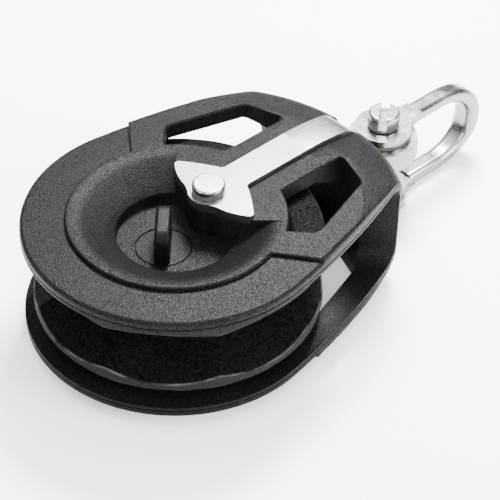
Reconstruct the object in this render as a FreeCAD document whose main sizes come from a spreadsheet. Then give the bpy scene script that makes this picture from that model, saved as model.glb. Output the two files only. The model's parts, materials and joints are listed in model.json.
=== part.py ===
"""Ratchet sheave block with a head strap, a swivel eye and a D-shackle.

Frame: origin on the sheave's axis at the parting plane of the two cheeks, +X to the shackle,
+Z along the axis towards the cheek that carries the selector knob.  Millimetres.
"""
import FreeCAD
import Part
import math
import os
import re

V = FreeCAD.Vector

# ------------------------------------------------------------------ driving dimensions
SIZES = [
    # sheave and its bearing
    ("sheave_radius", 30.0), ("sheave_middle", 1.0), ("sheave_half", 8.4),
    ("groove_floor", 20.8), ("flat_half", 1.9), ("facets", 8), ("facet_turn", 19.5),
    ("race_bore", 19.0), ("ring_bore", 17.6),
    ("ball_radius", 1.25), ("ball_pitch", 15.9), ("row_offset", 3.6), ("balls_per_row", 24),
    ("race_gap", 0.05), ("hub_radius", 15.3), ("outer_race_bore", 16.5), ("race_half", 1.7),
    ("cage_inner", 15.5), ("cage_outer", 16.3), ("cage_half", 1.5),
    # ratchet
    ("teeth", 24), ("tooth_tip", 14.3), ("tooth_root", 15.7), ("ring_half", 1.7), ("carrier_radius", 13.9),
    ("chamber_half", 1.7), ("pawl_pivot", 11.2), ("pawl_height", 2.0), ("pawl_pin_radius", 0.95),
    # cheeks
    ("cheek_radius", 31.5), ("tail_shift", 0.6), ("ring_top", 12.7), ("head_top", 13.6), ("plate_under", 10.1),
    ("step_radius", 22.4), ("edge_round", 0.8), ("step_round", 0.4), ("floor_top", 6.65), ("floor_under", 6.2),
    ("floor_radius", 12.1), ("drop_radius", 12.35), ("drop_top", 9.0), ("dish_radius", 21.5), ("skirt_under", 8.3),
    ("pit_radius", 12.8), ("pit_under", 4.85),
    ("skirt_radius", 20.0), ("well_radius", 14.3), ("side_radius", 175.0), ("side_turn", 8.0),
    ("head_radius", 41.0), ("head_centre", 8.95), ("corner_radius", 2.4), ("slope_start", 33.0),
    ("slope_radius", 60.0), ("slope_turn", 10.0), ("nose_radius", 5.0), ("boss_start", 37.8),
    ("cheek_turn", 13.2), ("cheek_nose", 4.2), ("boss_fillet", 4.0), ("wall_groove", 10.95), ("groove_size", 0.24),
    # strap and rivet
    ("strap_half", 3.65), ("strap_proud", 1.05), ("strap_thick", 2.0), ("rivet_x", 8.3), ("rivet_radius", 2.5),
    ("rivet_head", 3.42), ("rivet_head_height", 2.2), ("rivet_foot_height", 1.4),
    # selector
    ("knob_x", -4.0), ("knob_y", 0.0), ("knob_radius", 5.6), ("knob_thick", 1.2), ("knob_shaft", 2.0),
    ("fin_width", 3.1), ("fin_height", 8.0), ("fin_angle", 46.0), ("cam_radius", 3.4), ("detent_orbit", 3.9),
    # swivel, eye and shackle
    ("stem_radius", 2.2), ("bush_radius", 3.5), ("cavity_radius", 6.3), ("cavity_start", 38.9), ("cavity_end", 44.2),
    ("pin_x", 60.0), ("pin_radius", 2.5), ("eye_radius", 8.0), ("eye_half", 2.6), ("ear_radius", 6.3),
    ("ear_thick", 2.4), ("shackle_drop", 5.3), ("shackle_half", 10.4), ("leg_thick", 3.1), ("bow_thick", 3.9),
    ("bow_end", 90.4), ("bow_reach", 12.6), ("bow_flat", 1.4), ("leg_width", 4.4), ("bow_width", 5.8),
    ("waist_radius", 3.0), ("waist_height", 0.25), ("head_height", 3.55), ("slot_width", 1.9),
]

doc = FreeCAD.newDocument("RatchetBlock")
sheet = doc.addObject("Spreadsheet::Sheet", "Sizes")
for row, (alias, number) in enumerate(SIZES, 1):
    sheet.set("A%d" % row, alias)
    sheet.set("B%d" % row, str(number))
    sheet.setAlias("B%d" % row, alias)
doc.recompute()
S = {alias: float(sheet.get(alias)) for alias, number in SIZES}

NODES = {}


# ------------------------------------------------------------------ helpers
def bind(obj, **expressions):
    """Tie properties to cells; an expression is written with bare cell names."""
    for prop, text in expressions.items():
        formula = re.sub(r"[a-z]+(?:_[a-z]+)+|\bteeth\b|\bfacets\b", lambda m: "Sizes." + m.group(0), text)
        obj.setExpression(prop.replace("__", ".").replace("Base", "Placement.Base"), formula)
    return obj


def cylinder(name, radius, height, x="0", y="0", z="0", along_x=False):
    obj = doc.addObject("Part::Cylinder", name)
    if along_x:
        obj.Placement.Rotation = FreeCAD.Rotation(V(0, 1, 0), 90)
    return bind(obj, Radius=radius, Height=height, Base__x=x, Base__y=y, Base__z=z)


def solid(name, shape):
    """A piece whose form no primitive fits; its sizes come from the sheet through S."""
    placement = shape.Placement
    obj = doc.addObject("Part::Feature", name)
    obj.Shape = shape
    obj.Placement = placement
    return obj


def cut(name, base, *tools):
    for number, tool in enumerate(tools, 1):
        obj = doc.addObject("Part::Cut", "%s_cut%d" % (name, number))
        obj.Base = base
        obj.Tool = tool
        base = obj
    return base


def fuse(name, *pieces):
    obj = doc.addObject("Part::MultiFuse", name)
    obj.Shapes = list(pieces)
    obj.Refine = True
    return obj


def node(name, obj):
    obj.Label = name
    NODES[name] = obj
    return obj


def at(radius, degrees, z=0.0):
    return V(radius * math.cos(math.radians(degrees)), radius * math.sin(math.radians(degrees)), z)


def arc(start, middle, end):
    return Part.Arc(start, middle, end).toShape()


def line(start, end):
    return Part.makeLine(start, end)


def prism(edges, low, high):
    """Extrude a closed outline drawn at z = 0 from low to high."""
    face = Part.Face(Part.Wire(edges))
    face.translate(V(0, 0, low))
    return face.extrude(V(0, 0, high - low))


def polygon(points):
    return [line(a, b) for a, b in zip(points, points[1:] + points[:1])]


def turned(profile, centre=V(0, 0, 0)):
    """Revolve a closed (radius, z) profile about Z."""
    face = Part.Face(Part.Wire(polygon([V(r, 0, z) for r, z in profile])))
    body = face.revolve(V(0, 0, 0), V(0, 0, 1), 360)
    body.translate(centre)
    return body


def meet(c1, r1, c2, r2):
    """Crossing point of two circles on the shackle side."""
    gap = c2 - c1
    d = gap.Length
    a = (r1 * r1 - r2 * r2 + d * d) / (2 * d)
    rise = math.sqrt(r1 * r1 - a * a)
    along = gap / d
    across = V(-along.y, along.x, 0)
    points = [c1 + along * a + across * rise, c1 + along * a - across * rise]
    return max(points, key=lambda p: p.x)


def mirror_z(shape):
    return shape.mirror(V(0, 0, 0), V(0, 0, 1))


def level_edges(shape, z):
    return [e for e in shape.Edges if all(abs(v.Z - z) < 1e-5 for v in e.Vertexes)]


def toward(centre, point, radius):
    step = point - centre
    return centre + step * (radius / step.Length)


# ------------------------------------------------------------------ outlines shared by cheeks and strap
TAIL = V(-S["tail_shift"], 0, 0)


def cheek_outline(inset=0.0):
    """Plan outline: round tail, long side arcs, rounded corners, shallow head arc."""
    tail_r = S["cheek_radius"] - inset
    side_r = S["side_radius"] - inset
    head_r = S["head_radius"] - inset
    corner_r = S["corner_radius"] - inset
    turn = math.radians(S["side_turn"])
    normal = V(math.sin(turn), math.cos(turn), 0)
    start = TAIL + normal * tail_r
    side_c = start - normal * side_r
    head_c = V(S["head_centre"], 0, 0)
    corner_c = meet(side_c, side_r - corner_r, head_c, head_r - corner_r)
    side_end = toward(side_c, corner_c, side_r)
    head_end = toward(head_c, corner_c, head_r)
    corner_mid = toward(corner_c, (side_end + head_end) * 0.5, corner_r)
    side_mid = toward(side_c, (start + side_end) * 0.5, side_r)
    flip = lambda p: V(p.x, -p.y, p.z)
    return [
        arc(flip(start), TAIL - V(tail_r, 0, 0), start),
        arc(start, side_mid, side_end),
        arc(side_end, corner_mid, head_end),
        arc(head_end, head_c + V(head_r, 0, 0), flip(head_end)),
        arc(flip(head_end), flip(corner_mid), flip(side_end)),
        arc(flip(side_end), flip(side_mid), flip(start)),
    ]


def side_curve(offset):
    """Side view of the head's top: flat, gentle slope, nose radius, vertical end; offset outwards."""
    turn = math.radians(S["slope_turn"])
    slope_c = V(S["slope_start"], 0, S["head_top"] - S["slope_radius"])
    slope_r = S["slope_radius"] + offset
    normal = lambda t: V(math.sin(t), 0, math.cos(t))
    joint = slope_c + normal(turn) * slope_r
    nose_r = S["nose_radius"] + offset
    nose_c = joint - normal(turn) * nose_r
    flat = slope_c + V(0, 0, slope_r)
    end = nose_c + V(nose_r, 0, 0)
    half = (turn + math.pi / 2) / 2
    edges = [
        arc(flat, slope_c + normal(turn / 2) * slope_r, joint),
        arc(joint, nose_c + normal(half) * nose_r, end),
    ]
    return flat, end, edges


def extruded_y(edges, half_width):
    face = Part.Face(Part.Wire(edges))
    face.translate(V(0, -half_width, 0))
    return face.extrude(V(0, 2 * half_width, 0))


def head_envelope(offset):
    """Everything under the head's top surface, from the parting plane up."""
    flat, end, edges = side_curve(offset)
    back = V(-60, 0, flat.z)
    outline = [line(V(end.x, 0, 0), V(-60, 0, 0)), line(V(-60, 0, 0), back), line(back, flat)]
    return extruded_y(outline + edges + [line(end, V(end.x, 0, 0))], 60)


def cheek_envelope():
    """The cheeks' own top: the strap's slope carried further, with a nose rounded along the plan arc."""
    turn = math.radians(S["cheek_turn"])
    slope_c = V(S["slope_start"], 0, S["head_top"] - S["slope_radius"])
    normal = lambda t: V(math.sin(t), 0, math.cos(t))
    flat = slope_c + normal(0) * S["slope_radius"]
    far = slope_c + normal(turn * 2) * S["slope_radius"]
    slope = extruded_y([line(V(far.x, 0, 0), V(-60, 0, 0)), line(V(-60, 0, 0), V(-60, 0, flat.z)),
                        line(V(-60, 0, flat.z), flat), arc(flat, slope_c + normal(turn) * S["slope_radius"], far),
                        line(far, V(far.x, 0, 0))], 60)
    joint = slope_c + normal(turn) * S["slope_radius"]
    nose_c = joint - normal(turn) * S["cheek_nose"]
    end = nose_c + V(S["cheek_nose"], 0, 0)
    centre_x = end.x - S["head_radius"]
    apex_z = joint.z + (joint.x - centre_x) * math.tan(turn)
    half = (turn + math.pi / 2) / 2
    profile = [line(V(centre_x, 0, 0), V(centre_x, 0, apex_z)), line(V(centre_x, 0, apex_z), joint),
               arc(joint, nose_c + normal(half) * S["cheek_nose"], end), line(end, V(end.x, 0, 0)),
               line(V(end.x, 0, 0), V(centre_x, 0, 0))]
    cap = Part.Face(Part.Wire(profile)).revolve(V(centre_x, 0, 0), V(0, 0, 1), 360)
    tail = Part.makeBox(80, 120, 40, V(centre_x - 80, -60, 0))
    return slope.common(cap.fuse(tail))


def strap_outline(slack=0.0):
    """T-ended plan outline: lobe round the rivet, two swept wings, straight strap to the head."""
    w = S["strap_half"] + slack
    rivet = V(S["rivet_x"], 0, 0)
    lobe_r = 4.3 + slack
    lobe_y = 2.9
    lobe = V(S["rivet_x"] - math.sqrt(lobe_r ** 2 - lobe_y ** 2), lobe_y, 0)
    notch = V(6.0 - slack, 4.7, 0)
    wing_mid = V(6.9 - slack, 7.8, 0)
    tip_front = V(9.2 - slack * 0.5, 11.5 + slack, 0)
    tip_back = V(10.2 + slack * 0.5, 11.5 + slack, 0)
    rear_mid = V(12.9 + slack, 7.9, 0)
    neck = V(15.0 + slack, w + 1.0, 0)
    neck_mid = V(15.4 + slack, w + 0.3, 0)
    strap_start = V(16.3 + slack, w, 0)
    far = V(60, w, 0)
    flip = lambda p: V(p.x, -p.y, p.z)
    upper = [
        line(lobe, notch), arc(notch, wing_mid, tip_front), line(tip_front, tip_back),
        arc(tip_back, rear_mid, neck), arc(neck, neck_mid, strap_start), line(strap_start, far),
    ]
    lower = [
        line(flip(far), flip(strap_start)), arc(flip(strap_start), flip(neck_mid), flip(neck)),
        arc(flip(neck), flip(rear_mid), flip(tip_back)), line(flip(tip_back), flip(tip_front)),
        arc(flip(tip_front), flip(wing_mid), flip(notch)), line(flip(notch), flip(lobe)),
    ]
    return upper + [line(far, flip(far))] + lower + [arc(flip(lobe), rivet - V(lobe_r, 0, 0), lobe)]


# ------------------------------------------------------------------ cheeks
def window_outline(inset=0.0):
    """One cheek window on the +Y side: arc round the dish, straight inner and outer sides."""
    dish_r = 22.9 + inset
    inner_y = 8.7 + inset
    inner_start = V(-S["tail_shift"] + math.sqrt(dish_r ** 2 - inner_y ** 2), inner_y, 0)
    inner_end = V(37.3 - inset, inner_y, 0)
    head_low = V(37.6 - inset, 9.8 + inset, 0)
    head_high = V(35.1 - inset, 16.6, 0)
    outer_head = V(33.4, 18.1 - inset, 0)
    outer_tail = V(18.6, 22.6 - inset, 0)
    tail_top = V(15.9 + inset, 22.0 - inset, 0)
    tail_low = V(-S["tail_shift"] + math.sqrt(dish_r ** 2 - 18.6 ** 2), 18.6, 0)
    dish_mid = TAIL + at(dish_r, 38)
    return [
        arc(tail_low, dish_mid, inner_start), line(inner_start, inner_end), line(inner_end, head_low),
        line(head_low, head_high), arc(head_high, V(34.6 - inset, 17.5 - inset * 0.5, 0), outer_head),
        line(outer_head, outer_tail), arc(outer_tail, V(17.1, 22.75 - inset, 0), tail_top),
        line(tail_top, tail_low),
    ]


def window_flare():
    """Slight lead-in round the top of a window."""
    lower = Part.Wire(window_outline())
    upper = Part.Wire(window_outline(-0.45))
    lower.translate(V(0, 0, S["head_top"] - 0.35))
    upper.translate(V(0, 0, S["head_top"] + 0.1))
    return Part.makeLoft([lower, upper], True, True)


def dish_tool():
    """The funnel dish: flat floor, short steep drop, sloping wall that runs out at the rim."""
    top = S["head_top"]
    slope = math.radians(31)
    wall_top = 12.8
    wall_r = S["drop_radius"] + (wall_top - S["drop_top"]) / math.tan(slope)
    rim_r = S["dish_radius"]
    sweep_mid = V((wall_r + rim_r) / 2 - 0.15, 0, (wall_top + top) / 2 + 0.12)
    profile = [
        line(V(0, 0, S["floor_top"]), V(S["floor_radius"], 0, S["floor_top"])),
        line(V(S["floor_radius"], 0, S["floor_top"]), V(S["drop_radius"], 0, S["drop_top"])),
        line(V(S["drop_radius"], 0, S["drop_top"]), V(wall_r, 0, wall_top)),
        arc(V(wall_r, 0, wall_top), sweep_mid, V(rim_r, 0, top)),
        line(V(rim_r, 0, top), V(rim_r, 0, top + 3)),
        line(V(rim_r, 0, top + 3), V(0, 0, top + 3)),
        line(V(0, 0, top + 3), V(0, 0, S["floor_top"])),
    ]
    bowl = Part.Face(Part.Wire(profile)).revolve(V(0, 0, 0), V(0, 0, 1), 360)
    bowl.translate(TAIL)
    corner = V(13.9, 15.7, 0)
    flip = lambda p: V(p.x, -p.y, p.z)
    notch, wing_mid, tip = V(6.0, 4.7, 0), V(6.9, 7.8, 0), V(9.2, 11.5, 0)
    lobe = V(S["rivet_x"] - math.sqrt(4.3 ** 2 - 2.9 ** 2), 2.9, 0)
    reach = V(30, 34, 0)
    pad = prism([
        arc(flip(lobe), V(S["rivet_x"] - 4.3, 0, 0), lobe), line(lobe, notch), arc(notch, wing_mid, tip),
        line(tip, corner), line(corner, reach), line(reach, flip(reach)), line(flip(reach), flip(corner)),
        line(flip(corner), flip(tip)), arc(flip(tip), flip(wing_mid), flip(notch)), line(flip(notch), flip(lobe)),
    ], 0, 20)
    return bowl.cut(pad)


def plateau_tool():
    """The raised face: round ring about the dish joined to the whole head, its top edge rounded."""
    start = TAIL + at(S["step_radius"], 73.5)
    edge = V(13.4, 31.5, 0)
    flip = lambda p: V(p.x, -p.y, p.z)
    far = V(70, 31.5, 0)
    tool = prism([
        arc(flip(start), TAIL - V(S["step_radius"], 0, 0), start), line(start, edge), line(edge, far),
        line(far, flip(far)), line(flip(far), flip(edge)), line(flip(edge), flip(start)),
    ], 0, S["head_top"])
    return tool.makeFillet(S["step_round"], level_edges(tool, S["head_top"]))


def rounded_plate(outline, top, low, radius):
    """Plate with its top outer edge rounded by a quarter arc, made as a fillet."""
    plate = prism(outline, low, top)
    return plate.makeFillet(radius, level_edges(plate, top))


def cheek_shape():
    top_ring, top_head = S["ring_top"], S["head_top"]
    ring = rounded_plate(cheek_outline(), top_ring, 0, S["edge_round"])
    head = rounded_plate(cheek_outline(), top_head, 0, S["edge_round"]).common(plateau_tool())
    body = ring.fuse(head).common(cheek_envelope())
    body = body.cut(dish_tool())
    # hollow underside: plate over the sheave, skirt round the bearing, floor over the hub
    room = turned([(0, -1), (90, -1), (90, S["plate_under"]), (S["skirt_radius"] + 0.6, S["plate_under"]),
                   (S["skirt_radius"], S["skirt_under"]), (S["well_radius"], S["skirt_under"]),
                   (S["well_radius"], S["floor_under"]), (S["pit_radius"], S["floor_under"]),
                   (S["pit_radius"], S["pit_under"]), (0, S["pit_under"])])
    open_sides = prism(polygon([V(-60, -60, 0), V(54, -60, 0), V(54, -29.9, 0), V(S["boss_start"], -15.4, 0),
                                V(S["boss_start"], 15.4, 0), V(54, 29.9, 0), V(54, 60, 0), V(-60, 60, 0)]),
                       -1, S["plate_under"])
    inner = [e for e in level_edges(open_sides, S["plate_under"]) if 37 < e.BoundBox.Center.x < 50
             and abs(e.BoundBox.Center.y) < 25]
    open_sides = open_sides.makeFillet(S["boss_fillet"], inner)
    under = [V(30.9, 0, 30), V(30.9, 0, 9.9), V(37, 0, 6.6), V(60, 0, 6.6), V(60, 0, 30)]
    beam = extruded_y([line(a, b) for a, b in zip(under, under[1:] + under[:1])], 8.7)
    body = body.cut(room.common(open_sides).cut(beam))
    for side in (1, -1):
        hole = prism(window_outline(), -1, 30).fuse(window_flare())
        body = body.cut(hole if side > 0 else hole.mirror(V(0, 0, 0), V(0, 1, 0)))
    low, high = S["wall_groove"] - S["groove_size"] / 2, S["wall_groove"] + S["groove_size"] / 2
    body = body.cut(prism(cheek_outline(-2), low, high).cut(prism(cheek_outline(S["groove_size"]), low, high)))
    body = body.cut(prism(cheek_outline(-2), -1, 0.22).cut(prism(cheek_outline(0.3), -1, 0.22)))
    # recess that lets the strap lie half sunk in the face and down the head's end
    sunk = head_envelope(10).cut(head_envelope(S["strap_proud"] - S["strap_thick"]))
    body = body.cut(sunk.common(prism(strap_outline(0.08), 0, 40)))
    return body.removeSplitter()


def cheeks():
    shape = cheek_shape()
    upper = solid("UpperCheekBlank", shape)
    lower = solid("LowerCheekBlank", mirror_z(shape))
    rivet_up = cylinder("UpperRivetBore", "rivet_radius", "20", x="rivet_x", z="2")
    rivet_down = cylinder("LowerRivetBore", "rivet_radius", "20", x="rivet_x", z="-22")
    cavity = cylinder("SwivelCavity", "cavity_radius", "cavity_end - cavity_start", x="cavity_start", along_x=True)
    bore = cylinder("BushBore", "bush_radius", "20", x="cavity_end - 0.5", along_x=True)
    seat = cylinder("KnobSeat", "knob_radius + 0.15", "4", "knob_x", "knob_y", "floor_top - knob_thick - 0.1")
    lead_in = cylinder("KnobLeadIn", "knob_radius + 0.32", "2", "knob_x", "knob_y", "floor_top - 0.45")
    shaft = cylinder("KnobShaftBore", "knob_shaft + 0.06", "8", "knob_x", "knob_y", "2")
    ball = cylinder("DetentBore", "1.15", "6", "knob_x - detent_orbit", "knob_y", "2")
    node("upper_cheek", cut("UpperCheek", upper, rivet_up, cavity, bore, seat, lead_in, shaft, ball))
    node("lower_cheek", cut("LowerCheek", lower, rivet_down, cavity, bore))


# ------------------------------------------------------------------ strap and rivet
def strap():
    outer = head_envelope(S["strap_proud"])
    inner = head_envelope(S["strap_proud"] - S["strap_thick"])
    half = outer.cut(inner).common(prism(strap_outline(), 0, 40))
    whole = half.fuse(mirror_z(half)).removeSplitter()
    blank = solid("StrapBlank", whole)
    bore = cylinder("StrapRivetBore", "rivet_radius", "60", x="rivet_x", z="-30")
    stem = cylinder("StrapStemBore", "stem_radius + 0.06", "20", x="cavity_end", along_x=True)
    node("head_strap", cut("Strap", blank, bore, stem))


def rivet():
    top = "head_top + strap_proud"
    shank = cylinder("RivetShank", "rivet_radius", "2 * (%s)" % top, x="rivet_x", z="-(%s)" % top)
    head = cylinder("RivetHead", "rivet_head", "rivet_head_height", x="rivet_x", z=top)
    foot = cylinder("RivetFoot", "rivet_head", "rivet_foot_height", x="rivet_x",
                    z="-(%s) - rivet_foot_height" % top)
    doc.recompute()
    whole = fuse("RivetBody", shank, head, foot)
    doc.recompute()
    ends = [i + 1 for i, e in enumerate(whole.Shape.Edges)
            if abs(abs(e.BoundBox.Center.z) - (S["head_top"] + S["strap_proud"] + 1.8)) < 0.45
            and e.BoundBox.ZLength < 1e-6]
    rounded = doc.addObject("Part::Fillet", "RivetRounded")
    rounded.Base = whole
    rounded.Edges = [(i, 0.5, 0.5) for i in ends]
    node("through_rivet", rounded)


# ------------------------------------------------------------------ sheave
def octagon_frustum(low, low_apothem, high, high_apothem):
    count = int(S["facets"])
    rings = []
    for z, apothem in ((low, low_apothem), (high, high_apothem)):
        corner = apothem / math.cos(math.pi / count)
        rings.append(Part.makePolygon([at(corner, S["facet_turn"] + 360.0 / count * i, z) for i in range(count + 1)]))
    return Part.makeLoft(rings, True, True)


FLANK = 1.9


def sheave():
    half, radius = S["sheave_half"], S["sheave_radius"]
    floor, flat = S["groove_floor"], S["flat_half"]
    wide = floor + FLANK * (half - flat)
    disc = turned([(17.6, -half + 2.8), (20.6, -half + 2.8), (23.4, -half), (radius - 0.4, -half),
                   (radius, -half + 0.4), (radius, half - 0.4), (radius - 0.4, half), (23.4, half),
                   (20.6, half - 2.8), (17.6, half - 2.8)])
    core = octagon_frustum(flat, floor, half + 0.01, wide)
    core = core.fuse(mirror_z(core)).fuse(octagon_frustum(-flat, floor, flat, floor))
    body = disc.common(core)
    body = body.cut(turned([(0, S["ring_half"]), (S["race_bore"], S["ring_half"]), (S["race_bore"], 20), (0, 20)]))
    body = body.cut(turned([(0, -20), (S["race_bore"], -20), (S["race_bore"], -S["ring_half"]),
                            (0, -S["ring_half"])]))
    body.translate(V(0, 0, S["sheave_middle"]))
    node("sheave", solid("SheaveBody", body.removeSplitter()))


def row_z(side):
    return S["sheave_middle"] + side * S["row_offset"]


def bearing():
    """Two ball rows between the fixed hub and the sheave, each with a cage and an outer race."""
    groove = S["ball_radius"] + S["race_gap"]
    count = int(S["balls_per_row"])
    for name, side in (("upper", 1), ("lower", -1)):
        z = row_z(side)
        centres = [at(S["ball_pitch"], 360.0 / count * (i + 0.5), z) for i in range(count)]
        balls = Part.makeCompound([Part.makeSphere(S["ball_radius"], c) for c in centres])
        node(name + "_balls", solid(name.title() + "Balls", balls))
        track = Part.makeTorus(S["ball_pitch"], groove, V(0, 0, z))
        race = turned([(S["outer_race_bore"], z - S["race_half"]), (S["race_bore"], z - S["race_half"]),
                       (S["race_bore"], z + S["race_half"]), (S["outer_race_bore"], z + S["race_half"])])
        node(name + "_outer_race", solid(name.title() + "OuterRace", race.cut(track)))
        cage = turned([(S["cage_inner"], z - S["cage_half"]), (S["cage_outer"], z - S["cage_half"]),
                       (S["cage_outer"], z + S["cage_half"]), (S["cage_inner"], z + S["cage_half"])])
        for c in centres:
            out = V(c.x, c.y, 0) / S["ball_pitch"]
            cage = cage.cut(Part.makeCylinder(groove, 4, c - out * 2, out))
        node(name + "_ball_cage", solid(name.title() + "BallCage", cage))


# ------------------------------------------------------------------ ratchet
TOOTH_FACE = 168.0
PAWL_REACH = 38.0
PAWL_SWING = 10.8


def ratchet_ring():
    """Ring with inward saw teeth, pressed into the middle of the sheave's bore."""
    pitch = 360.0 / S["teeth"]
    points = []
    for i in range(int(S["teeth"])):
        face = TOOTH_FACE + pitch * i
        points.append(at(S["tooth_root"], face))
        points.append(at(S["tooth_tip"], face + 0.6))
    low, high = S["sheave_middle"] - S["ring_half"], S["sheave_middle"] + S["ring_half"]
    rim = Part.makeCylinder(S["ring_bore"], high - low, V(0, 0, low))
    node("ratchet_ring", solid("RatchetRing", rim.cut(prism(polygon(points), low - 1, high + 1))))


def pawl_angles():
    return (("a", TOOTH_FACE), ("b", TOOTH_FACE + 180.0))


def drawn_in(shape, pivot):
    """A pawl at rest is swung clear of the teeth."""
    shape.rotate(pivot, V(0, 0, 1), PAWL_SWING)
    return shape


def pawl_pivot(face):
    return at(S["pawl_pivot"], face - PAWL_REACH)


def pawls():
    floor = S["sheave_middle"] - S["chamber_half"] + 0.1
    for letter, face in pawl_angles():
        pivot = pawl_pivot(face)
        back = face - PAWL_REACH
        nose = polygon([at(15.0, face - 1.9), at(12.7, face - 1.9), at(9.6, face - 24), at(9.1, back),
                        at(13.2, back), at(13.6, face - 15)])
        eye = Part.makeCylinder(2.1, S["pawl_height"], pivot + V(0, 0, floor))
        body = prism(nose, floor, floor + S["pawl_height"]).fuse(eye).removeSplitter()
        blank = solid("PawlBlank_" + letter, drawn_in(body, pivot))
        bore = cylinder("PawlBore_" + letter, "pawl_pin_radius + 0.05", "20", z="-10")
        bore.setExpression("Placement.Base.x", None)
        bore.setExpression("Placement.Base.y", None)
        bore.Placement.Base = pivot - V(0, 0, 10)
        node("pawl_" + letter, cut("Pawl_" + letter, blank, bore))
        coil_z = floor + S["pawl_height"] + 0.3
        turns = [Part.makeTorus(1.45, 0.22, pivot + V(0, 0, coil_z + 0.42 * i)) for i in range(2)]
        leg_end = at(12.4, face - 14)
        leg_start = toward(pivot, leg_end, 1.45) + V(0, 0, coil_z)
        leg = leg_end + V(0, 0, coil_z) - leg_start
        wire = Part.makeCylinder(0.22, leg.Length, leg_start, leg)
        coil = drawn_in(turns[0].fuse(turns[1]).fuse(wire), pivot)
        node("pawl_spring_" + letter, solid("PawlSpring_" + letter, coil))


def hub():
    """Fixed hub in three layers: two race halves and the pawl carrier between them."""
    low, high = S["sheave_middle"] - S["chamber_half"], S["sheave_middle"] + S["chamber_half"]
    groove = S["ball_radius"] + S["race_gap"]
    rivet_bore = cylinder("HubRivetBore", "rivet_radius", "30", x="rivet_x", z="-15")
    shaft_bore = cylinder("HubShaftBore", "knob_shaft + 0.06", "20", "knob_x", "knob_y",
                          "sheave_middle - chamber_half")
    pins = [cylinder("PawlPin_" + letter, "pawl_pin_radius", "2 * chamber_half + 2.4",
                     z="sheave_middle - chamber_half - 1.2") for letter, face in pawl_angles()]
    for pin, (letter, face) in zip(pins, pawl_angles()):
        pivot = pawl_pivot(face)
        pin.Placement.Base = V(pivot.x, pivot.y, pin.Placement.Base.z)
        pin.setExpression("Placement.Base.x", None)
        pin.setExpression("Placement.Base.y", None)
    node("pawl_pins", fuse("PawlPins", *pins))
    for name, bottom, top, side in (("upper", high, S["floor_under"], 1), ("lower", -S["floor_under"], low, -1)):
        disc = Part.makeCylinder(S["hub_radius"], top - bottom, V(0, 0, bottom))
        neck = turned([(S["well_radius"] - 0.1, -20), (20, -20), (20, 20), (S["well_radius"] - 0.1, 20)])
        outer = prism(polygon([V(-30, -30, 0), V(30, -30, 0), V(30, 30, 0), V(-30, 30, 0)]),
                      row_z(side) + side * 1.65, row_z(side) + side * 20)
        disc = disc.cut(neck.common(outer))
        disc = disc.cut(Part.makeTorus(S["ball_pitch"], groove, V(0, 0, row_z(side))))
        pit = Part.makeCylinder(S["pit_radius"] + 0.1, 10, V(0, 0, S["pit_under"]))
        disc = disc.cut(pit if side > 0 else mirror_z(pit))
        blank = solid(name.title() + "HubBlank", disc)
        tools = [rivet_bore] + pins
        if side > 0:
            tools += [shaft_bore, cylinder("HubDetentBore", "1.15", "6", "knob_x - detent_orbit", "knob_y", "3.2")]
        node(name + "_hub", cut(name.title() + "Hub", blank, *tools))
    carrier = Part.makeCylinder(S["carrier_radius"], high - low, V(0, 0, low))
    for letter, face in pawl_angles():
        start, end = face - PAWL_REACH - 22, face + 8
        pocket = [arc(at(7.9, start), at(7.9, (start + end) / 2), at(7.9, end)), line(at(7.9, end), at(16, end)),
                  arc(at(16, end), at(16, (start + end) / 2), at(16, start)), line(at(16, start), at(7.9, start))]
        carrier = carrier.cut(prism(pocket, low - 1, high + 1))
    blank = solid("CarrierBlank", carrier)
    cam_room = cylinder("CamRoom", "cam_radius + 0.9", "10", "knob_x", "knob_y", "-4")
    node("pawl_carrier", cut("PawlCarrier", blank, rivet_bore, cam_room))


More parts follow.
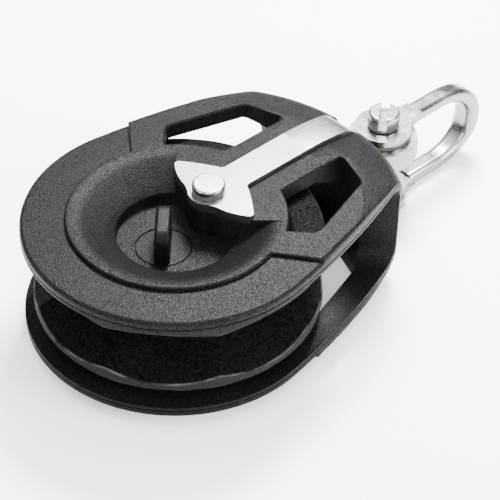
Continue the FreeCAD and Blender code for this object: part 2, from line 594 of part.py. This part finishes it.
# ------------------------------------------------------------------ selector
def selector():
    """Disc with a finger fin, a shaft down to the cam, and a sprung ball that clicks under the disc."""
    disc = cylinder("KnobDisc", "knob_radius", "knob_thick", "knob_x", "knob_y", "floor_top - knob_thick")
    shaft = cylinder("KnobShaft", "knob_shaft", "floor_top - knob_thick - sheave_middle + chamber_half - 0.2",
                     "knob_x", "knob_y", "sheave_middle - chamber_half + 0.2")
    length, height = 2 * S["knob_radius"] - 0.5, S["fin_height"]
    low = S["floor_top"] - 0.2
    a, b = -length / 2, length / 2
    profile = [line(V(a, 0, low), V(b, 0, low)), line(V(b, 0, low), V(b, 0, low + height - 2.6)),
               arc(V(b, 0, low + height - 2.6), V(b - 0.76, 0, low + height - 0.76), V(b - 2.6, 0, low + height)),
               line(V(b - 2.6, 0, low + height), V(a + 2.2, 0, low + height - 0.7)),
               arc(V(a + 2.2, 0, low + height - 0.7), V(a + 0.7, 0, low + height - 1.6),
                   V(a, 0, low + height - 3.4)),
               line(V(a, 0, low + height - 3.4), V(a, 0, low))]
    fin = extruded_y(profile, S["fin_width"] / 2)
    long_edges = [e for e in fin.Edges if abs(abs(e.BoundBox.Center.y) - S["fin_width"] / 2) < 1e-6
                  and e.BoundBox.YLength < 1e-6 and e.BoundBox.ZMin > low + 0.5]
    fin = fin.makeFillet(0.7, long_edges)
    disc_limit = Part.makeCylinder(S["knob_radius"], 20, V(0, 0, low))
    fin = fin.common(disc_limit)
    fin.rotate(V(0, 0, 0), V(0, 0, 1), S["fin_angle"])
    fin.translate(V(S["knob_x"], S["knob_y"], 0))
    blade = solid("KnobFin", fin)
    groove = doc.addObject("Part::Torus", "DetentGroove")
    bind(groove, Radius1="detent_orbit", Radius2="1.06", Base__x="knob_x", Base__y="knob_y",
         Base__z="floor_top - knob_thick - 0.25")
    knob = fuse("KnobBody", disc, shaft, blade)
    node("selector_knob", cut("Knob", knob, groove))
    lobe = V(S["cam_radius"] + 0.6, 0, 0)
    round_part = Part.makeCylinder(S["cam_radius"] - 0.5, 1.9, V(0, 0, 0))
    tips = [Part.makeCylinder(1.1, 1.9, V(0, 0, 0) + lobe * sign * 0.7) for sign in (1, -1)]
    cam = round_part.fuse(tips[0]).fuse(tips[1])
    cam.rotate(V(0, 0, 0), V(0, 0, 1), 70)
    cam.translate(V(S["knob_x"], S["knob_y"], S["sheave_middle"] - S["chamber_half"] + 0.3))
    blank = solid("CamBlank", cam)
    bore = cylinder("CamBore", "knob_shaft", "20", "knob_x", "knob_y", "-10")
    node("selector_cam", cut("Cam", blank, bore))
    ball_z = "floor_top - knob_thick - 0.25"
    ball = doc.addObject("Part::Sphere", "DetentBall")
    bind(ball, Radius="1.0", Base__x="knob_x - detent_orbit", Base__y="knob_y", Base__z=ball_z)
    node("detent_ball", ball)
    top = S["floor_top"] - S["knob_thick"] - 0.25 - 1.0
    low_end = 3.25
    wire = 0.2
    helix = Part.makeHelix(0.5, top - low_end - 2 * wire, 0.8)
    ring = Part.Wire(Part.makeCircle(wire, V(0.8, 0, 0), V(0, 1, 0)))
    coil = Part.Wire(helix).makePipeShell([ring], True, True)
    coil.translate(V(S["knob_x"] - S["detent_orbit"], S["knob_y"], low_end + wire))
    node("detent_spring", solid("DetentSpring", coil))


# ------------------------------------------------------------------ swivel
def swivel():
    """Eye with a stem held in the head by a washer and a lock nut, turning in a flanged bush."""
    face = head_end_x() + S["strap_proud"]
    stem = cylinder("Stem", "stem_radius", "pin_x - cavity_start - 0.6", x="cavity_start + 0.6", along_x=True)
    shoulder = solid("Shoulder", Part.makeCone(3.5, 3.1, 3.0, V(face + 0.75, 0, 0), V(1, 0, 0)))
    ball = Part.makeSphere(S["eye_radius"], V(S["pin_x"], 0, 0))
    slab = Part.makeBox(60, 60, 2 * S["eye_half"], V(S["pin_x"] - 30, -30, -S["eye_half"]))
    neck = Part.makeCylinder(2.5, 8.0, V(face + 2.5, 0, 0), V(1, 0, 0))
    eye = solid("EyeBall", ball.common(slab))
    neck_part = solid("EyeNeck", neck)
    whole = fuse("EyeBody", stem, shoulder, neck_part, eye)
    hole = cylinder("EyeHole", "pin_radius + 0.08", "40", x="pin_x", z="-20")
    node("swivel_eye", cut("Eye", whole, hole))
    washer = Part.makeCylinder(5.9, 1.0, V(S["cavity_end"] - 1.05, 0, 0), V(1, 0, 0)).cut(
        Part.makeCylinder(S["stem_radius"] + 0.06, 4, V(S["cavity_end"] - 3, 0, 0), V(1, 0, 0)))
    node("swivel_washer", solid("SwivelWasher", washer))
    corners = [math.radians(60 * i) for i in range(7)]
    nut_hex = Part.Face(Part.makePolygon([V(0, 5.4 * math.cos(a), 5.4 * math.sin(a)) for a in corners]))
    nut_hex = nut_hex.extrude(V(2.6, 0, 0))
    nut_hex.translate(V(S["cavity_end"] - 1.1 - 2.6, 0, 0))
    nut_blank = solid("NutBlank", nut_hex)
    nut_bore = cylinder("NutBore", "stem_radius", "30", x="cavity_start - 10", along_x=True)
    node("swivel_nut", cut("Nut", nut_blank, nut_bore))
    bush = cylinder("BushBody", "bush_radius", "%r - strap_thick - cavity_end" % face, x="cavity_end", along_x=True)
    bush_bore = cylinder("BushHole", "stem_radius + 0.06", "40", x="cavity_end - 10", along_x=True)
    node("swivel_bush", cut("Bush", bush, bush_bore))
    ring = Part.makeCylinder(3.5, 0.7, V(face, 0, 0), V(1, 0, 0)).cut(
        Part.makeCylinder(S["stem_radius"] + 0.06, 4, V(face - 2, 0, 0), V(1, 0, 0)))
    node("swivel_thrust_ring", solid("ThrustRing", ring))


def head_end_x():
    return side_curve(0)[1].x


# ------------------------------------------------------------------ shackle
def bar_section(centre, outward, width, thick, corner):
    """Rounded-rectangle wire: width along Y, thickness along the outward direction."""
    across = V(0, 1, 0)
    place = lambda a, b: centre + across * a + outward * b
    w, t, r = width / 2, thick / 2, corner
    d = r * (1 - math.sqrt(0.5))
    edges = []
    corners = [(1, 1), (-1, 1), (-1, -1), (1, -1)]
    for number, (a, b) in enumerate(corners):
        along = (place(a * w, b * (t - r)), place(a * (w - r), b * t))
        start, end = along if number % 2 == 0 else (along[1], along[0])
        edges.append(arc(start, place(a * (w - d), b * (t - d)), end))
        nx, ny = corners[(number + 1) % 4]
        following = place(nx * (w - r), ny * t) if number % 2 == 0 else place(nx * w, ny * (t - r))
        edges.append(line(end, following))
    return Part.Wire(edges)


def shackle():
    """D-shackle: two flat round ears, necks that narrow to the legs, and a bow that widens to its end."""
    half, leg_t, bow_t = S["shackle_half"], S["leg_thick"], S["bow_thick"]
    reach, x0, ear_r = S["bow_reach"], S["pin_x"], S["ear_radius"]
    start, flat = S["bow_end"] - reach, S["bow_flat"] / 2
    straight = [bar_section(V(x, 0, half - leg_t / 2), V(0, 0, 1), S["leg_width"], leg_t, 1.2)
                for x in (x0 + 8.4, start)]
    stations = []
    for turn in (0, 15, 30, 45, 60, 75, 90):
        t = math.radians(turn)
        share = 0.5 - 0.5 * math.cos(2 * t)
        out = V(math.sin(t) / reach, 0, math.cos(t) / (half - flat)).normalize()
        thick = leg_t + (bow_t - leg_t) * share
        width = S["leg_width"] + (S["bow_width"] - S["leg_width"]) * share
        edge = V(start + reach * math.sin(t), 0, flat + (half - flat) * math.cos(t))
        stations.append(bar_section(edge - out * (thick / 2), out, width, thick, 1.2 + 0.5 * share))
    leg = Part.makeLoft(straight, True, True).fuse(Part.makeLoft(stations, True, False))
    middle = Part.Face(stations[-1]).extrude(V(0, 0, -2 * flat))
    join = math.radians(35)
    ear_side = V(x0 + ear_r * math.cos(join), ear_r * math.sin(join), 0)
    neck = V(x0 + ear_r + 3.6, S["leg_width"] / 2, 0)
    bend_mid = V((ear_side.x + neck.x) / 2 - 0.35, (ear_side.y + neck.y) / 2 - 0.4, 0)
    flip = lambda p: V(p.x, -p.y, p.z)
    ear = prism([arc(flip(ear_side), V(x0 - ear_r, 0, 0), ear_side), arc(ear_side, bend_mid, neck),
                 line(neck, flip(neck)), arc(flip(neck), flip(bend_mid), flip(ear_side))],
                half - S["ear_thick"], half)
    body = ear.fuse(leg)
    body = body.fuse(mirror_z(body)).fuse(middle).removeSplitter()
    body.translate(V(0, 0, -S["shackle_drop"]))
    blank = solid("ShackleBlank", body)
    bore = cylinder("ShackleBore", "pin_radius + 0.05", "60", x="pin_x", z="-30")
    node("shackle", cut("Shackle", blank, bore))


def shackle_pin():
    top = "shackle_half - shackle_drop"
    foot = "shackle_half + shackle_drop + 0.3"
    shank = cylinder("PinShank", "pin_radius", "2 * shackle_half + 0.3", x="pin_x", z="-(%s)" % foot)
    waist = cylinder("PinWaist", "waist_radius", "waist_height + 0.1", x="pin_x", z=top)
    head = solid("PinHead", pin_head())
    whole = fuse("PinBody", shank, waist, head)
    turn = FreeCAD.Rotation(V(0, 0, 1), 38)
    across = Part.makeBox(20, S["slot_width"], 6, V(-10, -S["slot_width"] / 2, 0))
    across.Placement = FreeCAD.Placement(
        V(S["pin_x"], 0, S["shackle_half"] - S["shackle_drop"] + S["waist_height"] + 0.7), turn)
    slot = solid("PinSlot", across)
    node("shackle_pin", cut("Pin", whole, slot))


def pin_head():
    low = S["shackle_half"] - S["shackle_drop"] + S["waist_height"]
    head = Part.makeCylinder(3.5, S["head_height"], V(S["pin_x"], 0, low))
    return head.makeFillet(0.6, level_edges(head, low + S["head_height"]))


cheeks()
strap()
rivet()
sheave()
bearing()
ratchet_ring()
pawls()
hub()
selector()
swivel()
shackle()
shackle_pin()
doc.recompute()

# ------------------------------------------------------------------ checks and export
for obj in doc.Objects:
    if "Invalid" in obj.State or "Error" in obj.State:
        raise RuntimeError("%s did not recompute: %s" % (obj.Name, obj.State))
os.makedirs("parts", exist_ok=True)
for name, obj in NODES.items():
    shape = obj.Shape
    if shape.isNull() or not shape.isValid() or not shape.Solids:
        raise RuntimeError("%s has no valid solid" % name)
    shape.exportStep("parts/%s.step" % name)
    box_ = shape.BoundBox
    print("%-20s solids %2d  volume %9.2f  x %.2f..%.2f  y %.2f..%.2f  z %.2f..%.2f" % (
        name, len(shape.Solids), shape.Volume, box_.XMin, box_.XMax, box_.YMin, box_.YMax, box_.ZMin, box_.ZMax))
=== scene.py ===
"""Ratchet sheave block: camera, stage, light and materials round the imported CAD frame.

Every visible piece is a CAD node with a procedural material, and the pieces that show most have softened
edges. Sizes and places are in metres, in the frame's axes: the sheave turns about Z, and +X points to the
shackle.
"""
import bpy
import json
import math
from mathutils import Matrix, Vector


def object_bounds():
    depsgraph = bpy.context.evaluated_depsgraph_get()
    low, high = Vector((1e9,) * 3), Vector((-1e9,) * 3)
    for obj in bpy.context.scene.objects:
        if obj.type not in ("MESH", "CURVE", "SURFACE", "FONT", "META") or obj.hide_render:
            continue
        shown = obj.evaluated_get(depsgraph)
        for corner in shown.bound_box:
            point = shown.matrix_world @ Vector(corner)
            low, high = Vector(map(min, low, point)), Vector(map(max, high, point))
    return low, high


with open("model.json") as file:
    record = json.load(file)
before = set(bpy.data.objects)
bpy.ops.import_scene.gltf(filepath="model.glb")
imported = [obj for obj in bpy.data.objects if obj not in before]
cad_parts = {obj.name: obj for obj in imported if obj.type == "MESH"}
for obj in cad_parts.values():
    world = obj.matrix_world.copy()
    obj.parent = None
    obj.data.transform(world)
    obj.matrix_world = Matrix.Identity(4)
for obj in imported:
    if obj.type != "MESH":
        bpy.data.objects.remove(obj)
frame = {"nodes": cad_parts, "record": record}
cad_box = [list(corner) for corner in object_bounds()]
NODES = frame["nodes"]


# ------------------------------------------------------------------ camera
CAMERA_AZIMUTH = math.radians(46.215)
CAMERA_ELEVATION = math.radians(41.1425)
CAMERA_ROLL = math.radians(1.3307)
CAMERA_DISTANCE = 0.42157
CAMERA_TARGET = Vector((0.01378, -0.00685, 0.0))
LENS_MM = 146.226
SENSOR_MM = 36.0
NEAREST_SEEN = 0.01


def make_camera():
    """Long-lens view from above, between the tail and the near side."""
    back = Vector((-math.cos(CAMERA_AZIMUTH) * math.cos(CAMERA_ELEVATION),
                   -math.sin(CAMERA_AZIMUTH) * math.cos(CAMERA_ELEVATION), math.sin(CAMERA_ELEVATION)))
    across = Vector((0, 0, 1)).cross(back).normalized()
    up = back.cross(across)
    right = across * math.cos(CAMERA_ROLL) + up * math.sin(CAMERA_ROLL)
    top = up * math.cos(CAMERA_ROLL) - across * math.sin(CAMERA_ROLL)
    data = bpy.data.cameras.new("camera")
    data.sensor_width = SENSOR_MM
    data.lens = LENS_MM
    data.clip_start = NEAREST_SEEN
    camera = bpy.data.objects.new("camera", data)
    matrix = Matrix((right, top, back)).transposed().to_4x4()
    matrix.translation = CAMERA_TARGET + back * CAMERA_DISTANCE
    camera.matrix_world = matrix
    bpy.context.scene.collection.objects.link(camera)
    bpy.context.scene.camera = camera


make_camera()


# ------------------------------------------------------------------ stage and light
FLOOR_HALF = 3.0
FLOOR_GAP = 0.00002
FLOOR_TONE = 0.96
FLOOR_ROUGHNESS = 0.75

# Place and brightness along the sky dome's height: 0 is straight down, 0.5 the horizon, 1 straight up.
DOME_BOTTOM = (0.0, 0.03)
DOME_BETWEEN = ((0.44, 0.05), (0.66, 0.42))
DOME_TOP = (0.93, 1.0)
DOME_STRENGTH = 5.0

# Name, place, width and height, and watts of each lamp. All of them aim near the sheave's middle.
LAMP_AIM = (0.01, 0, 0)
LAMPS = (
    ("key", (0.165, 0.10, 0.26), (0.11, 0.09), 6.4),
    ("left_strip", (-0.55, 0.12, 0.17), (0.3, 0.16), 2.5),
    ("right_strip", (0.22, -0.55, 0.2), (0.34, 0.18), 9.0),
    ("front_fill", (-0.34, -0.42, 0.34), (0.3, 0.2), 3.0),
)


def make_floor(z):
    """Pale matt paper under the block."""
    corners = [(-FLOOR_HALF, -FLOOR_HALF, z), (FLOOR_HALF, -FLOOR_HALF, z),
               (FLOOR_HALF, FLOOR_HALF, z), (-FLOOR_HALF, FLOOR_HALF, z)]
    mesh = bpy.data.meshes.new("floor")
    mesh.from_pydata(corners, [], [(0, 1, 2, 3)])
    floor = bpy.data.objects.new("floor", mesh)
    bpy.context.scene.collection.objects.link(floor)
    mat = bpy.data.materials.new("floor_paper")
    mat.use_nodes = True
    shader = mat.node_tree.nodes["Principled BSDF"]
    shader.inputs["Base Color"].default_value = (FLOOR_TONE, FLOOR_TONE, FLOOR_TONE, 1)
    shader.inputs["Roughness"].default_value = FLOOR_ROUGHNESS
    mesh.materials.append(mat)


def make_dome():
    """White studio dome that is dark near the horizon, which draws the edges on the bright metal."""
    world = bpy.data.worlds.new("studio")
    bpy.context.scene.world = world
    world.use_nodes = True
    tree = world.node_tree
    coords = tree.nodes.new("ShaderNodeTexCoord")
    split = tree.nodes.new("ShaderNodeSeparateXYZ")
    tree.links.new(coords.outputs["Generated"], split.inputs["Vector"])
    dome = tree.nodes.new("ShaderNodeValToRGB")
    dome.color_ramp.interpolation = "EASE"
    stops = dome.color_ramp.elements
    for stop, (place, tone) in ((stops[0], DOME_BOTTOM), (stops[1], DOME_TOP)):
        stop.position = place
        stop.color = (tone, tone, tone, 1)
    for place, tone in DOME_BETWEEN:
        stop = stops.new(place)
        stop.color = (tone, tone, tone, 1)
    tree.links.new(split.outputs["Z"], dome.inputs["Fac"])
    background = tree.nodes["Background"]
    tree.links.new(dome.outputs["Color"], background.inputs["Color"])
    background.inputs["Strength"].default_value = DOME_STRENGTH


def make_lamp(name, place, size, power):
    """White rectangular area light."""
    data = bpy.data.lights.new(name, "AREA")
    data.shape = "RECTANGLE"
    data.size, data.size_y = size
    data.energy = power
    lamp = bpy.data.objects.new(name, data)
    lamp.location = place
    lamp.rotation_euler = (Vector(LAMP_AIM) - Vector(place)).to_track_quat("-Z", "Y").to_euler()
    bpy.context.scene.collection.objects.link(lamp)


make_floor(cad_box[0][2] - FLOOR_GAP)
make_dome()
for lamp_name, lamp_place, lamp_size, lamp_power in LAMPS:
    make_lamp(lamp_name, lamp_place, lamp_size, lamp_power)


# ------------------------------------------------------------------ material helper
# Sockets of the colour mix node, where several sockets share one name.
MIX_AMOUNT, MIX_FIRST, MIX_SECOND, MIX_RESULT = 0, 6, 7, 2


def is_output(value):
    """True for a node's output, false for a plain number or colour."""
    return hasattr(value, "node")


class Surface:
    """Small helper for building a procedural material from object coordinates."""

    def __init__(self, name):
        self.mat = bpy.data.materials.new(name)
        self.mat.use_nodes = True
        self.tree = self.mat.node_tree
        self.shader = self.tree.nodes["Principled BSDF"]
        self.coords = self.add("ShaderNodeTexCoord").outputs["Object"]

    def add(self, kind, **settings):
        item = self.tree.nodes.new(kind)
        for key, value in settings.items():
            setattr(item, key, value)
        return item

    def link(self, source, target):
        self.tree.links.new(source, target)

    def stretched(self, scale):
        """Object coordinates, drawn out along the axes whose scale is below 1."""
        item = self.add("ShaderNodeMapping")
        item.inputs["Scale"].default_value = scale
        self.link(self.coords, item.inputs["Vector"])
        return item.outputs["Vector"]

    def noise(self, scale, detail=3.0, rough=0.55, vector=None):
        item = self.add("ShaderNodeTexNoise")
        item.inputs["Scale"].default_value = scale
        item.inputs["Detail"].default_value = detail
        item.inputs["Roughness"].default_value = rough
        self.link(vector or self.coords, item.inputs["Vector"])
        return item.outputs["Fac"]

    def cells(self, scale):
        item = self.add("ShaderNodeTexVoronoi")
        item.inputs["Scale"].default_value = scale
        self.link(self.coords, item.inputs["Vector"])
        return item.outputs["Distance"]

    def ramp(self, value, low, high, at_low=0.0, at_high=1.0):
        """Value mapped from the range low to high onto at_low to at_high, and held beyond its ends."""
        item = self.add("ShaderNodeMapRange")
        item.inputs["From Min"].default_value = low
        item.inputs["From Max"].default_value = high
        item.inputs["To Min"].default_value = at_low
        item.inputs["To Max"].default_value = at_high
        self.link(value, item.inputs["Value"])
        return item.outputs["Result"]

    def sum_or_product(self, operation, first, second):
        item = self.add("ShaderNodeMath", operation=operation)
        self.link(first, item.inputs[0])
        self.link(second, item.inputs[1])
        return item.outputs[0]

    def plus(self, first, second):
        return self.sum_or_product("ADD", first, second)

    def times(self, first, second):
        return self.sum_or_product("MULTIPLY", first, second)

    def colors(self, amount, first, second):
        """Mix of two colours, each a constant or another node's output."""
        item = self.add("ShaderNodeMix", data_type="RGBA")
        self.link(amount, item.inputs[MIX_AMOUNT])
        for place, color in ((MIX_FIRST, first), (MIX_SECOND, second)):
            if is_output(color):
                self.link(color, item.inputs[place])
            else:
                item.inputs[place].default_value = (*color, 1)
        return item.outputs[MIX_RESULT]

    def bump(self, height, distance, strength, normal=None):
        item = self.add("ShaderNodeBump")
        item.inputs["Distance"].default_value = distance
        item.inputs["Strength"].default_value = strength
        self.link(height, item.inputs["Height"])
        if normal:
            self.link(normal, item.inputs["Normal"])
        return item.outputs["Normal"]

    def radius_squared(self):
        """Square of the distance from the piece's Z axis."""
        place = self.add("ShaderNodeSeparateXYZ")
        self.link(self.coords, place.inputs["Vector"])
        x, y = place.outputs["X"], place.outputs["Y"]
        return self.plus(self.times(x, x), self.times(y, y))

    def set(self, **sockets):
        """Each shader socket, with _ for a space in its name, gets a constant or another node's output."""
        for key, value in sockets.items():
            socket = self.shader.inputs[key.replace("_", " ")]
            if is_output(value):
                self.link(value, socket)
            else:
                socket.default_value = value


def darker(color, share):
    return [channel * share for channel in color]


# Range over which most noise is spread out to its full effect.
NOISE_LOW, NOISE_HIGH = 0.3, 0.7


# ------------------------------------------------------------------ black plastic
PLASTIC_GRAIN_SCALE = 3800
PLASTIC_PIT_SCALE = 3300
PLASTIC_DRIFT_SCALE = 70
PLASTIC_SPECK_LOW, PLASTIC_SPECK_HIGH = 0.34, 0.72
PLASTIC_PIT_EDGE = 0.8
PLASTIC_ROUGHNESS = (0.34, 0.5)


def moulded_plastic(name, dark, light, gloss, grain_depth):
    """Black moulded nylon: spark-eroded grain whose high points glint through a higher specular level and
    also get a lighter base colour as painted glints, and a slow drift of tone.
    """
    surface = Surface(name)
    fine = surface.noise(PLASTIC_GRAIN_SCALE, 2.0, 0.6)
    pits = surface.cells(PLASTIC_PIT_SCALE)
    speck = surface.ramp(fine, PLASTIC_SPECK_LOW, PLASTIC_SPECK_HIGH)
    drift = surface.ramp(surface.noise(PLASTIC_DRIFT_SCALE), NOISE_LOW, NOISE_HIGH)
    # Painted glints: the grain's high points get the lighter base colour, which stands in for the sparkle of
    # light on the grain.
    painted_glint_tone = surface.colors(drift, darker(light, 0.8), light)
    grain = surface.bump(fine, grain_depth, 0.9)
    surface.set(Base_Color=surface.colors(speck, dark, painted_glint_tone),
                Roughness=surface.ramp(pits, 0.0, PLASTIC_PIT_EDGE, *PLASTIC_ROUGHNESS),
                Specular_IOR_Level=surface.ramp(speck, 0.0, 1.0, *gloss),
                Normal=surface.bump(pits, grain_depth, 0.8, grain))
    return surface.mat


# ------------------------------------------------------------------ metals
METAL_MARK_DEPTH = 0.000004
METAL_DRIFT_SCALE = 90
METAL_DRIFT_ROUGHNESS = (-0.03, 0.05)


def polished_metal(name, tone, rough, scale=900, brush=(1, 1, 1)):
    """Metal with fine polishing marks, drawn out where brush is below 1, and a small drift of roughness."""
    surface = Surface(name)
    marks = surface.noise(scale, 4.0, 0.6, surface.stretched(brush))
    drift = surface.noise(METAL_DRIFT_SCALE)
    mark_roughness = surface.ramp(marks, NOISE_LOW, NOISE_HIGH, *rough)
    drift_roughness = surface.ramp(drift, NOISE_LOW, NOISE_HIGH, *METAL_DRIFT_ROUGHNESS)
    surface.set(Base_Color=surface.colors(drift, darker(tone, 0.93), tone),
                Metallic=1.0,
                Roughness=surface.plus(mark_roughness, drift_roughness),
                Normal=surface.bump(marks, METAL_MARK_DEPTH, 0.8))
    return surface.mat


# ------------------------------------------------------------------ gripping sheave
SHEAVE_RADIUS = 0.03
# Band of the painted rim highlight, just inside the rim wall.
RIM_HIGHLIGHT_FROM = SHEAVE_RADIUS - 0.00045
RIM_HIGHLIGHT_TO = SHEAVE_RADIUS - 0.00025
RIM_WALL_FROM = SHEAVE_RADIUS - 0.0001
RIM_WALL_TO = SHEAVE_RADIUS - 0.00003

SHEAVE_COARSE_SCALE = 1500
SHEAVE_FINE_SCALE = 3200
SHEAVE_DRIFT_SCALE = 120
SHEAVE_SCUFF_SCALE = 160
SHEAVE_COARSE_DEPTH = 0.00025
SHEAVE_FINE_DEPTH = 0.00006
SHEAVE_ROUGHNESS = (0.5, 0.65)
SHEAVE_GLOSS = (0.01, 0.07)
SHEAVE_DARK = (0.0006, 0.00055, 0.0005)
SHEAVE_LIGHT = (0.0036, 0.0032, 0.003)
RIM_WALL_TONE = (0.0115, 0.0108, 0.0104)
# Colour of the painted highlight line on the rim's corner.
RIM_HIGHLIGHT_TONE = (0.048, 0.0455, 0.044)


def rough_sheave(name):
    """Blasted rope groove: coarse dark grain, a greyer rim wall and a painted highlight line on the rim's
    corner, broken up by noise.
    """
    surface = Surface(name)
    coarse = surface.noise(SHEAVE_COARSE_SCALE, 4.0, 0.7)
    fine = surface.noise(SHEAVE_FINE_SCALE, 2.0, 0.6)
    drift = surface.noise(SHEAVE_DRIFT_SCALE)
    groove_tone = surface.colors(surface.ramp(coarse, 0.35, 0.7), SHEAVE_DARK, SHEAVE_LIGHT)
    reach = surface.radius_squared()
    wall = surface.ramp(reach, RIM_WALL_FROM ** 2, RIM_WALL_TO ** 2)
    inside_wall = surface.ramp(wall, 0.0, 1.0, 1.0, 0.0)
    # Painted highlight: a thin pale line on the rim's corner, broken up by noise, stands in for light caught
    # on the edge.
    corner = surface.times(surface.ramp(reach, RIM_HIGHLIGHT_FROM ** 2, RIM_HIGHLIGHT_TO ** 2), inside_wall)
    highlight_breakup = surface.ramp(surface.noise(SHEAVE_SCUFF_SCALE, 4.0), 0.4, 0.6, 0.1, 1.0)
    tone_under_highlight = surface.colors(wall, groove_tone, RIM_WALL_TONE)
    grain = surface.bump(fine, SHEAVE_FINE_DEPTH, 0.7)
    surface.set(Base_Color=surface.colors(surface.times(corner, highlight_breakup), tone_under_highlight, RIM_HIGHLIGHT_TONE),
                Specular_IOR_Level=surface.ramp(coarse, 0.4, 0.75, *SHEAVE_GLOSS),
                Roughness=surface.ramp(drift, NOISE_LOW, NOISE_HIGH, *SHEAVE_ROUGHNESS),
                Normal=surface.bump(coarse, SHEAVE_COARSE_DEPTH, 0.8, grain))
    return surface.mat


# ------------------------------------------------------------------ bearing plastics
ACETAL_GRAIN_SCALE = 1800
ACETAL_GRAIN_DEPTH = 0.00001
ACETAL_ROUGHNESS_SPREAD = 0.12


def acetal(name, tone, rough):
    """Machined acetal: even tone with a faint grain."""
    surface = Surface(name)
    fine = surface.noise(ACETAL_GRAIN_SCALE)
    surface.set(Base_Color=surface.colors(fine, darker(tone, 0.8), tone),
                Roughness=surface.ramp(fine, NOISE_LOW, NOISE_HIGH, rough, rough + ACETAL_ROUGHNESS_SPREAD),
                Normal=surface.bump(fine, ACETAL_GRAIN_DEPTH, 0.5))
    return surface.mat


# ------------------------------------------------------------------ finish of each piece
# In moulded_plastic, light is the base colour of the painted glints on the grain.
FINISH = {
    "cheek_moulding": moulded_plastic("moulded_nylon", dark=(0.0011, 0.0011, 0.0012),
                                      light=(0.0074, 0.0074, 0.0076), gloss=(0.012, 0.104),
                                      grain_depth=0.00006),
    "sheave_moulding": rough_sheave("gripping_sheave"),
    "strap_steel": polished_metal("satin_steel", (0.165, 0.162, 0.157), (0.3, 0.42), scale=1600,
                                  brush=(0.12, 1, 1)),
    "bright_steel": polished_metal("polished_steel", (0.24, 0.232, 0.223), (0.22, 0.34), scale=500),
    "inner_steel": polished_metal("turned_steel", (0.38, 0.375, 0.37), (0.25, 0.4)),
    "hub_alloy": polished_metal("machined_alloy", (0.4, 0.405, 0.415), (0.3, 0.45)),
    "ball_acetal": acetal("white_acetal", (0.82, 0.81, 0.77), 0.28),
    "cage_acetal": acetal("black_acetal", (0.035, 0.035, 0.035), 0.45),
    "bush_bronze": polished_metal("bearing_bronze", (0.4, 0.27, 0.15), (0.3, 0.42)),
}
KNOB_NYLON = moulded_plastic("knob_nylon", dark=(0.0010, 0.0010, 0.0011), light=(0.0046, 0.0046, 0.0048),
                             gloss=(0.02, 0.095), grain_depth=0.00003)


def paint(piece, mat):
    piece.data.materials.clear()
    piece.data.materials.append(mat)


for entry in frame["record"]["subparts"]:
    paint(NODES[entry["node"]], FINISH[entry["material_slot"]])
paint(NODES["selector_knob"], KNOB_NYLON)


# ------------------------------------------------------------------ softened edges on the CAD pieces
WELD_DISTANCE = 0.000002
SHARP_ANGLE = math.radians(35.0)
EDGE_WIDTHS = {
    "upper_cheek": 0.00022, "lower_cheek": 0.00022, "selector_knob": 0.0002, "shackle_pin": 0.00025,
    "sheave": 0.0003, "through_rivet": 0.0001, "shackle": 0.0006, "swivel_eye": 0.0004,
}
STRAP_EDGE_WIDTH = 0.0004
STRAP_EDGE_SEGMENTS = 4


def soften(name, width, segments=2):
    """Rounds the sharp edges of a CAD piece."""
    piece = NODES[name]
    weld = piece.modifiers.new("weld", "WELD")
    weld.merge_threshold = WELD_DISTANCE
    bevel = piece.modifiers.new("bevel", "BEVEL")
    bevel.width = width
    bevel.segments = segments
    bevel.limit_method = "ANGLE"
    bevel.angle_limit = SHARP_ANGLE
    bevel.use_clamp_overlap = True
    bevel.harden_normals = False


for node_name, edge_width in EDGE_WIDTHS.items():
    soften(node_name, edge_width)
soften("head_strap", STRAP_EDGE_WIDTH, STRAP_EDGE_SEGMENTS)
